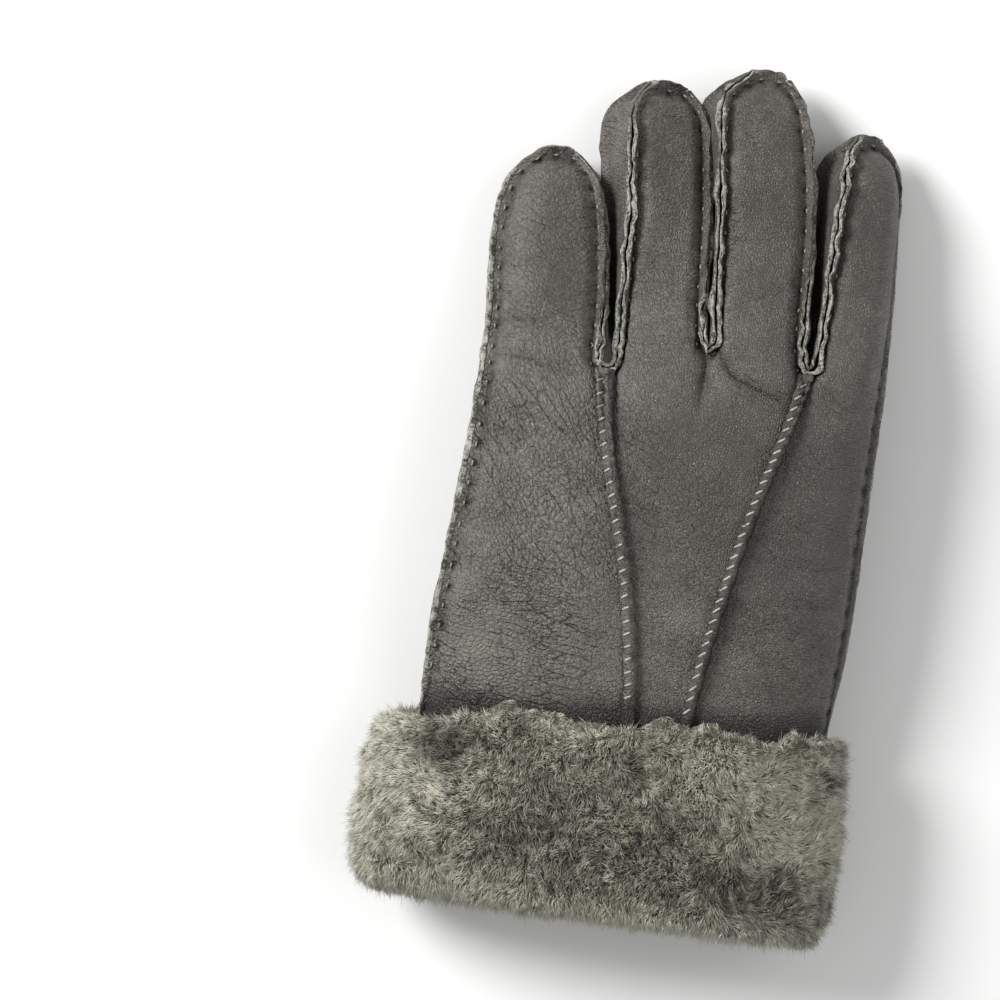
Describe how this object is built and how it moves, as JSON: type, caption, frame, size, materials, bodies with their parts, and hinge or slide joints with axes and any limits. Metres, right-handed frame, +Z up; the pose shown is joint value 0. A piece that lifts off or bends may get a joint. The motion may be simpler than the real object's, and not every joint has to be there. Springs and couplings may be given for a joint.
{
  "type": "shearling leather glove",
  "caption": "Left-hand leather glove with the wool side inside, forked side walls, raised ridges on the back and a turned-back wool cuff, lying on its palm.",
  "frame": {"origin": "on the surface that the glove lies on, below the middle of its bounding box", "axes": "+X towards the index finger and thumb, +Y towards the fingertips, +Z up through the back of the hand"},
  "size_m": [0.1538, 0.2716, 0.0496],
  "materials": {
    "leather": "matt taupe-grey sheepskin with a fine grain",
    "thumb_leather": "the same sheepskin",
    "side_leather": "the same sheepskin, in the fingers' shade",
    "ridge_leather": "the same sheepskin, raised and whip-stitched",
    "wool": "clumped olive-grey wool"
  },
  "bodies": {
    "root": {"back_panel": "leather", "palm_panel": "leather", "fourchette_little_ring": "side_leather", "fourchette_ring_middle": "side_leather", "fourchette_middle_index": "side_leather", "thumb_back": "thumb_leather", "thumb_front": "thumb_leather", "point_ring": "ridge_leather", "point_index": "ridge_leather", "shearling_cuff": "wool"}
  },
  "joints": []
}
